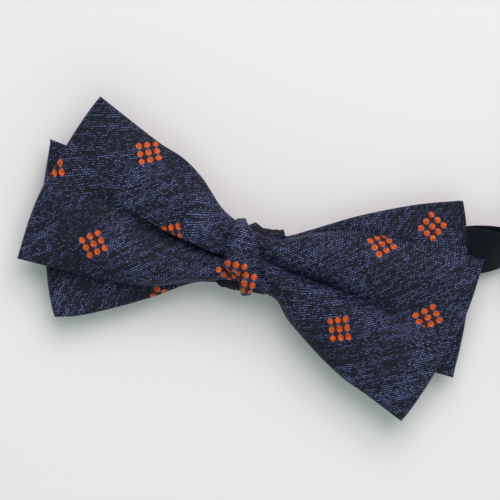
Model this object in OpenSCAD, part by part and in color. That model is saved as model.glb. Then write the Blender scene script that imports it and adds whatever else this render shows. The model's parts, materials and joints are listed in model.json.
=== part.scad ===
// Ready-tied bow tie on an adjustable neckband, lying on its back.
// +X runs along the bow, +Y is the side that is up when it is worn, +Z is its front.
// The neckband lies folded flat behind the bow, leaves it under the right wing,
// rolls on edge and closes in an upright loop with its hook, eye and slide.

/* [Bow layers] */
// Length of the front layer, end to end along its own middle
front_len = 116.6; // [100:0.2:130]
// Length of the back layer, end to end along its own middle
back_len = 114.8; // [100:0.2:130]
// Width of a layer at its ends
end_w = 48; // [36:0.5:56]
// Width of a layer where the knot gathers it
neck_w = 12; // [10:0.1:13]
// Width lost for each millimetre from the ends towards the knot
taper = 0.4; // [0.2:0.01:0.5]
// How far an end bulges past its own corners
end_bulge = 3; // [0:0.1:6]
// Slant of the front layer's ends, as the shift of each corner
front_slant = 1.9; // [-5:0.1:5]
// Slant of the back layer's ends, as the shift of each corner
back_slant = -3.3; // [-5:0.1:5]
// Angle of each layer's own middle line from the bow's length
cross_angle = 6.9; // [0:0.1:12]
// Half of the width of the gathered middle
gather_start = 7; // [6:0.1:9]
// Distance over which the gathers open out
gather_len = 19; // [10:0.5:30]
// Height by which the front layer's puffs stand above its middle fold
puff = 2.6; // [0:0.1:5]
// Thickness of the bow's cloth
cloth_t = 0.6; // [0.3:0.05:0.9]
// Thickness of the interlining
lining_t = 0.9; // [0.4:0.05:1.5]

/* [Knot] */
// Width of the knot's band
knot_w = 9.8; // [7:0.1:14]
// Room left inside the knot, end to end
knot_room = 19.8; // [18.6:0.1:24]
// Thickness of the knot's cloth, two plies
knot_t = 0.9; // [0.5:0.05:1.2]
// Lean of the knot's band from the bow's height
knot_lean = 21; // [0:0.5:30]
// Distance of the knot's middle to the left of the bow's middle
knot_left = 1.7; // [0:0.1:3]
// Height of the wadding that rounds the knot
wadding_h = 3.7; // [2:0.1:6]
// Thickness of the whipping thread
whip_t = 0.4; // [0.2:0.05:0.6]
// Width of the whipping round the gathered middle
whip_w = 3; // [1:0.1:6]

/* [Neckband] */
// Width of the neckband
band_w = 13; // [10:0.1:16]
// Thickness of the neckband
band_t = 1.3; // [0.9:0.05:1.6]
// Thickness of the neckband's own cloth
band_cloth_t = 0.4; // [0.2:0.05:0.5]
// Thickness of the keeper's tape
keeper_t = 0.5; // [0.3:0.05:0.7]
// Width of the keeper along the neckband
keeper_w = 10; // [5:0.5:12]
// Length of the blank size label
label_len = 18; // [10:1:24]
// Width of the size label
label_w = 10; // [6:0.5:12]
// Thickness of the size label
label_t = 0.3; // [0.15:0.05:0.5]

/* [Metal] */
// Radius of the bars that the neckband folds round
bar_r = 0.7; // [0.5:0.05:0.9]
// Thickness of the metal rails
rail_t = 1.5; // [1:0.1:2]
// Width of the hook's tongue
tongue_w = 8; // [5:0.5:11]
// Thickness of the hook's tongue
tongue_t = 1; // [0.6:0.1:1.2]
// Middle radius of the hook's bend
hook_bend = 2.6; // [2.3:0.1:2.8]
// Length of the slide
slide_len = 10; // [8:0.5:14]

/* [Fits] */
// Clearance between layers that lie on each other
layer_gap = 0.15; // [0.1:0.05:0.3]
// Clearance of the keeper round the neckband, above and below
keeper_gap = 0.25; // [0.2:0.05:0.4]
// Clearance at each edge of the neckband
edge_gap = 0.5; // [0.3:0.05:0.8]
// Clearance between a metal bar and the fold round it
bar_gap = 0.15; // [0.1:0.05:0.3]

/* [Hidden] */

up = [0, 0, 1];
thread_r = 0.15;
small_gap = 0.1;
whip_side_gap = 1.6;

// Heights of the stack under and in the bow, from the table up
run_gap = keeper_t + 2 * keeper_gap;
run_off = (band_t + run_gap) / 2;
stem_z = band_t / 2 + run_off;
keeper_low = band_t + keeper_gap;
keeper_high = 2 * band_t + run_gap + keeper_gap;
knot_low = keeper_high + keeper_t + small_gap;
knot_floor = knot_low + knot_t;
layer_h = cloth_t + layer_gap + lining_t / 2;
back_z = knot_floor + small_gap + whip_t + layer_gap + layer_h;
front_z = back_z + 2 * layer_h + layer_gap + 0.05;
whip_top = front_z + layer_h + layer_gap + whip_t;
wadding_low = whip_top + layer_gap;
knot_ceiling = wadding_low + wadding_h + layer_gap;

// Metal sizes: a frame's slot takes the neckband, and the upright loop stands on the frames
slot_h = band_w + 2 * edge_gap;
frame_h = slot_h + 2 * rail_t;
loop_z = frame_h / 2;
fold_r = bar_r + bar_gap + band_t / 2;

// Places of the metal pieces in plan
run_y = 28.5;
far_x = 132;
bar_x = far_x - fold_r;
hook_y = 42;
eye_reach = 12.6;
eye_len = 6.4;
eye_y = hook_y + eye_reach + eye_len;
slide_x = 101;
slide_bar_y = run_y + band_t + 0.2 + fold_r;
slide_end_y = run_y - band_t / 2 - keeper_gap - bar_r;

// Direction of the straight neckband behind the bow
stem_angle = 14;
stem_dir = [cos(stem_angle), sin(stem_angle), 0];
stem_side = [-sin(stem_angle), cos(stem_angle), 0];
// The stem's points, x, y and roll, and how far left of the knot it turns back
stem_start = -42;
stem_route = [[18, 4.5, 0], [38, 10.8, 0], [50, 15.6, 3], [56, 18.2, 14], [60, 19.8, 30],
    [64, 21.4, 48], [69, 23.2, 67], [75, 25.2, 83], [80, 26.6, 90]];
// Each run's points from the stem to its metal piece
run_a_route = [[86, 27.4], [92, run_y], [slide_x, run_y], [112, run_y], [120, run_y],
    [126.5, 31], [130.6, 35.5], [far_x, 39.5], [far_x, hook_y]];
run_b_route = [[84, 29.8], [90, 36], [98, 44.6], [107, 53.8], [116, 62.6], [122, 67.2],
    [127.6, 68.4], [131, 65.6], [far_x, 62.6], [far_x, eye_y]];
flap_route = [[far_x - 2 * fold_r, eye_y], [129.1, eye_y + 2.4], [129, eye_y + 4.6]];
tail_route = [[far_x - 2 * fold_r, hook_y], [128.4, 38.6], [125.8, 35.4],
    [121, slide_bar_y + fold_r], [112, slide_bar_y + fold_r], [slide_x, slide_bar_y + fold_r]];
tail_flap = 5;

function clamp01(t) = min(1, max(0, t));
function smooth(t) = let (c = clamp01(t)) c * c * (3 - 2 * c);
function unit(v) = v / norm(v);
function turned(p, a) = [p[0] * cos(a) - p[1] * sin(a), p[0] * sin(a) + p[1] * cos(a), p[2]];

// ---- closed skins made of rings with the same even number of points ----
function side_faces(m, k, first, flip) = [for (i = [0:m - 2], j = [0:k - 1])
    let (a = first + i * k + j, b = first + i * k + (j + 1) % k, c = b + k, d = a + k)
    each (flip ? [[a, b, c], [a, c, d]] : [[a, c, b], [a, d, c]])];
function cap_faces(k, first, flip) = [for (j = [0:k / 2 - 2])
    let (a = first + j, b = a + 1, c = first + k - 2 - j, d = c + 1)
    each (flip ? [[a, c, b], [a, d, c]] : [[a, b, c], [a, c, d]])];
function rim_faces(k, outer, inner, flip) = [for (j = [0:k - 1])
    let (a = outer + j, b = outer + (j + 1) % k, c = inner + (j + 1) % k, d = inner + j)
    each (flip ? [[a, c, b], [a, d, c]] : [[a, b, c], [a, c, d]])];

module solid_skin(rings) {
    m = len(rings);
    k = len(rings[0]);
    polyhedron([for (r = rings) each r],
        concat(side_faces(m, k, 0, false), cap_faces(k, 0, false), cap_faces(k, (m - 1) * k, true)));
}

module tube_skin(outer, inner) {
    m = len(outer);
    k = len(outer[0]);
    polyhedron(concat([for (r = outer) each r], [for (r = inner) each r]),
        concat(side_faces(m, k, 0, false), side_faces(m, k, m * k, true),
            rim_faces(k, 0, m * k, false), rim_faces(k, (m - 1) * k, (2 * m - 1) * k, true)));
}

// ---- bow layers: each is a strip of cloth folded at both ends into a flat ring ----
function plain_half_w(x) = end_w / 2 - taper / 2 * (front_len / 2 - end_bulge - x);
function half_w(x) = let (at = max(gather_start, abs(x)),
    lost = plain_half_w(gather_start) - neck_w / 2)
    plain_half_w(at) - lost * (1 - smooth((at - gather_start) / gather_len));
// A point of a layer's middle surface, for x from -1 to 1 along it and v from -1 to 1 across
function layer_point(s, v, z, rise, lean, long, slant) = let (
    x = s * (long / 2 - layer_h - end_bulge * v * v) + slant * v * abs(s),
    y = v * half_w(x),
    open = smooth((abs(x) - gather_start) / gather_len),
    fold = exp(-pow(v / 0.3, 2)),
    z_up = rise * open * (1 - 0.8 * fold) * (1 - 0.5 * smooth((abs(x) - 30) / 25)))
    [x - (y * tan(lean) + knot_left) * (1 - open), y, z + z_up];
// One ring round the strip at v: the upper ply to the right, the fold, the lower ply back
steps_x = 22;
half_ring = concat([[-1, 162], [-1, 126]], [for (i = [0:steps_x]) [2 * i / steps_x - 1, 90]],
    [[1, 54], [1, 18]]);
function layer_ring(v, r, z, rise, angle, long, slant) = let (n = len(half_ring))
    [for (i = [0:2 * n - 1]) let (low = i >= n, h = half_ring[low ? 2 * n - 1 - i : i],
        a = low ? -h[1] : h[1], p = layer_point(h[0], v, z, rise, knot_lean - angle, long, slant))
        turned(p + r * [cos(a), 0, sin(a)], angle)];
cross_steps = [for (v = [-1:0.2:1.001]) v];

module layer_cloth(z, rise, angle, long, slant) {
    tube_skin([for (v = cross_steps) layer_ring(v, layer_h, z, rise, angle, long, slant)],
        [for (v = cross_steps) layer_ring(v, layer_h - cloth_t, z, rise, angle, long, slant)]);
}

module layer_interlining(z, rise, angle, long, slant) {
    inset = 0.97;
    solid_skin([for (v = cross_steps)
        layer_ring(v * inset, lining_t / 2, z, rise, angle, long, slant)]);
}

module front_bow_cloth() {
    color("midnightblue") layer_cloth(front_z, puff, -cross_angle, front_len, front_slant);
}

module front_bow_interlining() {
    color("ivory") layer_interlining(front_z, puff, -cross_angle, front_len, front_slant);
}

module back_bow_cloth() {
    color("midnightblue") layer_cloth(back_z, 0, cross_angle, back_len, back_slant);
}

module back_bow_interlining() {
    color("ivory") layer_interlining(back_z, 0, cross_angle, back_len, back_slant);
}

// ---- knot: a band of cloth round both gathered middles, lying across them with a lean ----
// Outline of the knot's ring: flat at the back, round at the front and the ends
function knot_outline(half, low, high, power) = [for (a = [0:7.5:359])
    let (c = cos(a), s = sin(a), mid = low + (high - low) * 0.42)
    [half * sign(c) * pow(abs(c), power),
        mid + sign(s) * pow(abs(s), s > 0 ? 0.75 : 0.22) * (s > 0 ? high - mid : mid - low)]];

module across_knot(width) {
    translate([-knot_left, 0, 0]) rotate([0, 0, 90 + knot_lean]) rotate([90, 0, 0])
        translate([0, 0, -width / 2]) linear_extrude(height = width) children();
}

module knot_wrap() {
    color("midnightblue") across_knot(knot_w) difference() {
        polygon(knot_outline(knot_room / 2 + knot_t, knot_low, knot_ceiling + knot_t, 0.3));
        polygon(knot_outline(knot_room / 2, knot_floor, knot_ceiling, 0.22));
    }
}

module knot_wadding() {
    half = knot_room / 2 - 1.8;
    color("ivory") across_knot(knot_w - 1) polygon(concat([[half, wadding_low], [-half, wadding_low]],
        [for (a = [175:-10:5]) [half * cos(a), wadding_low + wadding_h * 0.92 * pow(sin(a), 0.8)]]));
}

module centre_whipping() {
    half = knot_room / 2 - whip_side_gap;
    low = knot_floor + small_gap;
    color("darkslateblue") across_knot(whip_w) difference() {
        translate([-half, low]) square([2 * half, whip_top - low]);
        translate([whip_t - half, low + whip_t])
            square([2 * (half - whip_t), whip_top - low - 2 * whip_t]);
    }
}

// A short straight stitch of thread between two points
module stitch(a, b) {
    d = b - a;
    translate(a) rotate([0, acos(d[2] / norm(d)), atan2(d[1], d[0])])
        cylinder(r = thread_r, h = norm(d), $fn = 16);
}

// The lap seam of the knot's cloth, under its lower end
module knot_seam_stitches() {
    out = knot_room / 2 - 0.6;
    color("darkslateblue") for (i = [-3:3])
        translate([-knot_left, 0, knot_low]) rotate([0, 0, knot_lean])
            stitch([i * knot_w / 8, -out + 0.5, 0], [i * knot_w / 8 + 0.3, -out + 1.5, 0]);
}

// ---- keeper: the loop on the knot's back that the upper run slides through ----
module along_stem() {
    translate(-knot_left * stem_dir) rotate([0, 0, stem_angle]) children();
}

keeper_half = band_w / 2 + edge_gap;
module keeper_loop() {
    color("midnightblue") along_stem() difference() {
        translate([-keeper_w / 2, -keeper_half - keeper_t, keeper_low])
            cube([keeper_w, 2 * (keeper_half + keeper_t), keeper_high + keeper_t - keeper_low]);
        translate([-keeper_w / 2 - 1, -keeper_half, keeper_low + keeper_t])
            cube([keeper_w + 2, 2 * keeper_half, keeper_high - keeper_low - keeper_t]);
    }
}

module keeper_stitches() {
    color("darkslateblue") along_stem() for (x = [-1, 1], y = [-5, -2.5, 0, 2.5, 5])
        translate([x * (keeper_w / 2 - 1.2), y, keeper_high + small_gap])
            cylinder(r = thread_r, h = keeper_t + knot_t, $fn = 16);
}

// ---- neckband: one strip swept along its route; each place is a point and a width direction ----
function stem_frame(p, before, after) = let (
    t = unit([after[0] - before[0], after[1] - before[1], 0]), left = cross(up, t), roll = p[2],
    w = left * cos(roll) + up * sin(roll))
    [[p[0], p[1], stem_z * cos(roll) + loop_z * sin(roll)], w, cross(t, w)];
function curve_at(p, i, t) = let (a = p[max(0, i - 1)], b = p[i], c = p[i + 1],
    d = p[min(len(p) - 1, i + 2)])
    0.5 * (2 * b + (c - a) * t + (2 * a - 5 * b + 4 * c - d) * t * t
        + (3 * b - a - 3 * c + d) * t * t * t);
function curve(p, n, first = 0) = [for (i = [first:len(p) - 2], j = [0:n - 1])
    curve_at(p, i, j / n)];
stem_points = concat([for (s = [stem_start, -28, -14, 0]) [s * stem_dir[0], s * stem_dir[1], 0]],
    stem_route);
stem_line = concat(curve(stem_points, 2), [stem_points[len(stem_points) - 1]]);
stem = [for (i = [0:len(stem_line) - 1]) stem_frame(stem_line[i], stem_line[max(0, i - 1)],
    stem_line[min(len(stem_line) - 1, i + 1)])];
last = len(stem) - 1;
function stem_run(side) = [for (f = stem) [f[0] + side * run_off * f[2], f[1]]];
function flat_xy(list) = [for (f = list) [f[0][0], f[0][1]]];
function upright(points) = [for (p = points) [[p[0], p[1], loop_z], up]];
function loop_run(side, route) = let (lead = flat_xy(stem_run(side)),
    p = concat([lead[last - 1], lead[last]], route))
    concat(curve(p, 3, 1), [route[len(route) - 1]]);
function turn_round(centre, r, from, to, n) = [for (i = [1:n - 1])
    let (a = from + (to - from) * i / n) centre + r * [cos(a), sin(a)]];
function reversed(list) = [for (i = [len(list) - 1:-1:0]) list[i]];

run_a = upright(reversed(loop_run(1, run_a_route)));
run_b = upright(loop_run(-1, run_b_route));
back_turn = [for (a = [60, 30, 0, -30, -60])
    [stem[0][0] + run_off * (sin(a) * up - cos(a) * stem_dir), stem_side]];
flap = upright(concat(turn_round([bar_x, eye_y], fold_r, 0, -180, 8), curve(flap_route, 2),
    [flap_route[2]]));
run_a_end = len(run_a) - 1;
route_main = concat([for (i = [0:run_a_end - 1]) run_a[i]], reversed(stem_run(1)), back_turn,
    stem_run(-1), [for (i = [1:len(run_b) - 1]) run_b[i]]);
route_band = concat(route_main, flap);
route_tail = upright(concat(turn_round([bar_x, hook_y], fold_r, 0, 180, 8), curve(tail_route, 3),
    [[slide_x, slide_bar_y + fold_r]],
    turn_round([slide_x, slide_bar_y], fold_r, 90, 270, 8),
    [[slide_x, slide_bar_y - fold_r], [slide_x + tail_flap, slide_bar_y - fold_r]]));

// Rectangular rings of a strip along a route, w wide and h thick, moved off along its normal
function strip_rings(route, w, h, off = 0) = [for (i = [0:len(route) - 1])
    let (p = route[i][0], side = route[i][1], n_last = len(route) - 1,
        t = unit(route[min(n_last, i + 1)][0] - route[max(0, i - 1)][0]), n = unit(cross(t, side)),
        c = p + off * n)
    [c - side * w / 2 + n * h / 2, c + side * w / 2 + n * h / 2,
        c + side * w / 2 - n * h / 2, c - side * w / 2 - n * h / 2]];
function part_of(list, first, final) = [for (i = [first:final]) list[i]];

module neckband_cloth() {
    color("midnightblue") tube_skin(strip_rings(route_band, band_w, band_t),
        strip_rings(route_band, band_w - 2 * band_cloth_t, band_t - 2 * band_cloth_t));
}

module neckband_interlining() {
    color("ivory") solid_skin(strip_rings(part_of(route_main, 1, len(route_main) - 2),
        band_w - 2 * band_cloth_t - 0.6, band_t - 2 * band_cloth_t - 2 * small_gap));
}

module strap_tail() {
    color("midnightblue") solid_skin(strip_rings(route_tail, band_w, band_t));
}

module upright_stitches(x, y, reach, angle, count) {
    for (i = [0:count - 1]) translate([x, y, loop_z + (i - (count - 1) / 2) * band_w / (count + 1)])
        rotate([0, 0, angle]) rotate([90, 0, 0]) cylinder(r = thread_r, h = reach, $fn = 16);
}

module tail_stitches() {
    color("darkslateblue") upright_stitches(slide_x + tail_flap - 1.5,
        slide_bar_y + fold_r + band_t / 2 + small_gap, 2 * fold_r + band_t + 0.15, 0, 5);
}

module eye_fold_stitches() {
    color("darkslateblue") upright_stitches(far_x + band_t / 2 - 0.15, flap_route[1][1] + 0.6,
        2 * fold_r + band_t, -90, 5);
}

// Places of run B that carry the label
label_mid = 21;
label_route = part_of(run_b, label_mid - 8, label_mid);
label_from = run_b[label_mid - 8][0];
label_dir = unit(run_b[label_mid][0] - label_from);
label_in = cross(label_dir, up);

module on_label() {
    mid = (run_b[label_mid - 8][0] + run_b[label_mid][0]) / 2;
    multmatrix([[label_dir[0], label_in[0], 0, mid[0]], [label_dir[1], label_in[1], 0, mid[1]],
        [0, 0, 1, mid[2]], [0, 0, 0, 1]]) children();
}

module size_label() {
    color("ghostwhite") on_label() translate([-label_len / 2, band_t / 2 + small_gap, -label_w / 2])
        cube([label_len, label_t, label_w]);
}

module label_stitches() {
    color("darkslateblue") on_label() for (x = [-1, 1], z = [-1, -0.33, 0.33, 1])
        translate([x * (label_len / 2 - 1), band_t / 2 - 0.2, z * (label_w / 2 - 1)])
            rotate([-90, 0, 0]) cylinder(r = thread_r, h = label_t + small_gap + 0.3, $fn = 16);
}

// ---- metal pieces: upright frames that stand on the table ----
module rails(x, y, dx, dy) {
    for (z = [0, frame_h - rail_t]) translate([x, y, z]) cube([dx, dy, rail_t]);
}

module bar(x, y) {
    translate([x, y, rail_t / 2]) cylinder(r = bar_r, h = frame_h - rail_t, $fn = 32);
}

module adjuster_slide() {
    color("silver") {
        rails(slide_x - slide_len / 2, slide_end_y - bar_r, slide_len,
            slide_bar_y - slide_end_y + 2 * bar_r);
        bar(slide_x, slide_bar_y);
        for (s = [-1, 1]) bar(slide_x + s * (slide_len / 2 - bar_r), slide_end_y);
    }
}

module hook() {
    plate_y = 5;
    bend_y = eye_reach + 0.4;
    half = tongue_t / 2;
    color("silver") {
        bar(bar_x, hook_y);
        rails(bar_x - bar_r, hook_y - bar_r, 2 * bar_r, plate_y + rail_t + bar_r);
        translate([bar_x - bar_r, hook_y + plate_y, 0]) cube([2 * bar_r, rail_t, frame_h]);
        translate([bar_x, hook_y, loop_z - tongue_w / 2]) linear_extrude(height = tongue_w) {
            polygon([[-half, plate_y + 0.4], [half, plate_y + 0.4], [hook_bend + half, 9.4],
                [hook_bend + half, bend_y], [hook_bend - half, bend_y], [hook_bend - half, 9.8]]);
            translate([-hook_bend - half, bend_y - 3]) square([tongue_t, 3]);
            translate([0, bend_y]) difference() {
                circle(r = hook_bend + half, $fn = 48);
                circle(r = hook_bend - half, $fn = 48);
                translate([-10, -20]) square([20, 20]);
            }
        }
    }
}

module eye() {
    color("silver") {
        for (y = [eye_y, eye_y - eye_len]) bar(bar_x, y);
        rails(bar_x - bar_r, eye_y - eye_len - bar_r, 2 * bar_r, eye_len + 2 * bar_r);
    }
}

front_bow_cloth();
front_bow_interlining();
back_bow_cloth();
back_bow_interlining();
knot_wrap();
knot_wadding();
knot_seam_stitches();
centre_whipping();
keeper_loop();
keeper_stitches();
neckband_cloth();
neckband_interlining();
strap_tail();
tail_stitches();
eye_fold_stitches();
size_label();
label_stitches();
adjuster_slide();
hook();
eye();
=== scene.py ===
import json
import math

import bmesh
import bpy
from mathutils import Matrix, Vector, noise

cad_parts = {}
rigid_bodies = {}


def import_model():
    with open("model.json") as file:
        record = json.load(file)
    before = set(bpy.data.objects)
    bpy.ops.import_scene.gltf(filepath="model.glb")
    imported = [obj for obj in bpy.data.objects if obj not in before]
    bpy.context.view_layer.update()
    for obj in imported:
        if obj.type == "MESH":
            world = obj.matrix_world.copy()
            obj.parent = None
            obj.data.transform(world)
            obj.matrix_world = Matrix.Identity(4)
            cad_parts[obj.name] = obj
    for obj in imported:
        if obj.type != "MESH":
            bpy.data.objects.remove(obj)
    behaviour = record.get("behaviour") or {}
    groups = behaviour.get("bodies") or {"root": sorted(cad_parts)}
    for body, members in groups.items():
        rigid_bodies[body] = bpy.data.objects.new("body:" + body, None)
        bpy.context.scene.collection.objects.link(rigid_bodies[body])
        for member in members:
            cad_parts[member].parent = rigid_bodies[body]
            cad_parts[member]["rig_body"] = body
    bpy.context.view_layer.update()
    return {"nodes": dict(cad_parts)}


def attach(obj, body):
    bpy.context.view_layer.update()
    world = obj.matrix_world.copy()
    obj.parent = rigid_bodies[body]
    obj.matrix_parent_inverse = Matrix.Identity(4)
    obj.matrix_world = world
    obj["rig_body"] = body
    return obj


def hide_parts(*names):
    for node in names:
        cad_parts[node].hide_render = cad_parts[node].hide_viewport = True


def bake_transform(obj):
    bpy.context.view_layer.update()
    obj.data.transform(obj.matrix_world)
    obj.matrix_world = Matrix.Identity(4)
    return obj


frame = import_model()
mm = 0.001
scene = bpy.context.scene
print("frame loaded:", len(frame["nodes"]), "CAD nodes")


def smoothStep(t):
    t = min(1.0, max(0.0, t))
    return t * t * (3 - 2 * t)


def curveThrough(points, x):  # smooth curve through (x, y) points, level past its ends
    if x <= points[0][0]:
        return points[0][1]
    if x >= points[-1][0]:
        return points[-1][1]
    i = max(k for k in range(len(points) - 1) if points[k][0] <= x)
    slope = []
    for k in (i, i + 1):
        a, b = points[max(0, k - 1)], points[min(len(points) - 1, k + 1)]
        slope.append((b[1] - a[1]) / (b[0] - a[0]))
    (x0, y0), (x1, y1) = points[i], points[i + 1]
    w = x1 - x0
    t = (x - x0) / w
    return ((2 * t**3 - 3 * t**2 + 1) * y0 + (t**3 - 2 * t**2 + t) * w * slope[0]
            + (3 * t**2 - 2 * t**3) * y1 + (t**3 - t**2) * w * slope[1])


# The camera looks straight down. Aim, view width, bow level and sensor width are in mm, and the
# other lengths in m; the places turn with the camera by bowTurn, in degrees.
studio = {
    "cameraHeight": 0.7, "bowTurn": 15.8, "aim": (-0.83, 2.24), "viewWidth": 132.3, "bowLevel": 12,
    "floor": "#e3e2e4", "floorSize": 6.0,
    "sensorWidth": 36, "nearClip": 0.01,
    "keyPower": 15.6, "keySize": 1.1, "keyPlace": (0.22, 0.72, 1.02), "keyColour": "#ffeef1",
    "fillPower": 4.2, "fillSize": 1.4, "fillPlace": (0.2, -0.75, 0.9), "fillColour": "#fff8f4",
    "skyStrength": 0.47, "sky": "#cdeee5",
}


def linear(hexColour, alpha=1.0):  # sRGB hex to the linear values that the shaders use
    values = [int(hexColour[i:i + 2], 16) / 255 for i in (1, 3, 5)]
    return [c / 12.92 if c <= 0.04045 else ((c + 0.055) / 1.055) ** 2.4 for c in values] + [alpha]


def makeCamera():
    data = bpy.data.cameras.new("studioCamera")
    cam = bpy.data.objects.new("studioCamera", data)
    scene.collection.objects.link(cam)
    cam.location = (studio["aim"][0] * mm, studio["aim"][1] * mm, studio["cameraHeight"])
    cam.rotation_euler = (0, 0, math.radians(studio["bowTurn"]))
    reach = studio["cameraHeight"] - studio["bowLevel"] * mm
    data.sensor_width = studio["sensorWidth"]
    data.lens = studio["sensorWidth"] * reach / (studio["viewWidth"] * mm)
    data.clip_start = studio["nearClip"]
    scene.camera = cam


def makeLight(part):  # a soft box that turns with the camera and faces the bow
    data = bpy.data.lights.new(part + "Box", "AREA")
    data.energy = studio[part + "Power"]
    data.size = studio[part + "Size"]
    data.color = linear(studio[part + "Colour"])[:3]
    lamp = bpy.data.objects.new(part + "Box", data)
    scene.collection.objects.link(lamp)
    turn = Matrix.Rotation(math.radians(studio["bowTurn"]), 3, "Z")
    lamp.location = turn @ Vector(studio[part + "Place"])
    lamp.rotation_euler = (-lamp.location).to_track_quat("-Z", "Y").to_euler()


makeCamera()
makeLight("key")
makeLight("fill")
scene.world = bpy.data.worlds.new("studioWorld")
scene.world.use_nodes = True
sky = scene.world.node_tree.nodes["Background"]
sky.inputs["Color"].default_value = linear(studio["sky"])
sky.inputs["Strength"].default_value = studio["skyStrength"]
scene.view_settings.view_transform = "Standard"
print("camera and lights placed")


def add(tree, kind, settings=None, links=None):  # one node, its settings, and what goes into it
    made = tree.nodes.new(kind)
    for key, value in (settings or {}).items():
        setattr(made, key, value)
    for key, value in (links or {}).items():
        socket = made.inputs[key]
        if isinstance(value, bpy.types.NodeSocket):
            tree.links.new(value, socket)
        else:
            socket.default_value = value
    return made


def newMaterial(name, **fixed):  # an empty surface with the shader's own fixed values
    made = bpy.data.materials.new(name)
    made.use_nodes = True
    shader = made.node_tree.nodes["Principled BSDF"]
    for key, value in fixed.items():
        shader.inputs[key].default_value = value
    return made, made.node_tree, shader


def formula(tree, sockets, steps):  # a chain of sums: name, operation, and what goes in, by name
    for name, operation, *inputs in steps:
        made = add(tree, "ShaderNodeMath", {"operation": operation},
                   {i: sockets.get(v, v) for i, v in enumerate(inputs)})
        sockets[name] = made.outputs[0]
    return sockets


# Sizes are in mm of cloth, but bumpDepth is in m. streakDim and streakLight are the least and the
# most that a streak lights its pips.
jacquard = {
    "ground": "#030405", "pipDim": "#171b30", "pipBright": "#747eba",
    "pipLength": 0.84, "pipRow": 0.54, "gap": 0.16,
    "pipVary": 0.5, "pipBias": -0.1, "streakLength": 15.0, "streakWidth": 1.1, "streakDim": 0.56,
    "streakLight": 0.86, "warp": 0.4, "warpScale": 0.4, "blotchScale": 0.06,
    "motifAcross": 27.6, "motifUp": 24.0, "dotAcross": 2.25, "dotUp": 2.15, "dotRadius": 0.8,
    "barHalf": 0.34, "barReach": 1.28, "speckArea": 0.1, "bump": 0.55, "bumpDepth": 0.00022,
    "orange": "#d95c17", "orangeDeep": "#94330b", "brown": "#341a17", "speck": "#2e4a80",
}


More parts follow.
